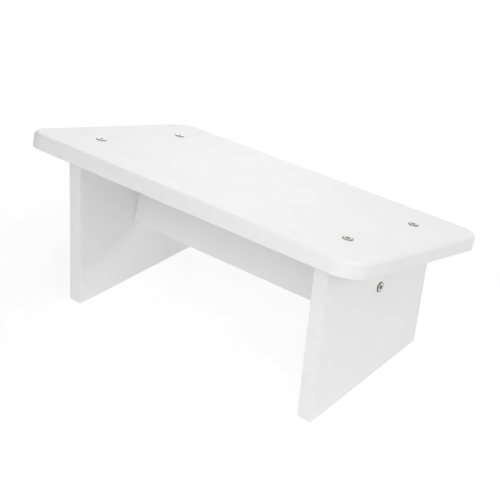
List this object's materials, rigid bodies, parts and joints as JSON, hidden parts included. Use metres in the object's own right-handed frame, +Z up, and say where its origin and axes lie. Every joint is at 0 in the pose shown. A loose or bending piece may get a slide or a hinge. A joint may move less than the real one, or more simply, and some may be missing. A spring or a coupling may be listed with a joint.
{
  "type": "footrest",
  "caption": "Slanted footrest: a round-cornered painted board screwed onto two leg panels cut on the slope, braced by a stretcher under the board.",
  "frame": {"origin": "on the floor, under the middle of the footrest's bounding box", "axes": "+X along the board's length, +Y from the high front to the low back, +Z up"},
  "size_m": [0.46, 0.2941, 0.2225],
  "materials": {
    "white_paint": "satin white paint on board",
    "plated_steel": "bright zinc plated",
    "beech": "bare beech"
  },
  "bodies": {
    "root": {"top_board": "white_paint", "left_leg": "white_paint", "right_leg": "white_paint", "stretcher": "white_paint", "top_screw_left_front": "plated_steel", "top_screw_left_back": "plated_steel", "top_screw_right_front": "plated_steel", "top_screw_right_back": "plated_steel", "side_screw_left": "plated_steel", "side_screw_right": "plated_steel", "dowel_left_upper": "beech", "dowel_left_lower": "beech", "dowel_right_upper": "beech", "dowel_right_lower": "beech"}
  },
  "joints": []
}
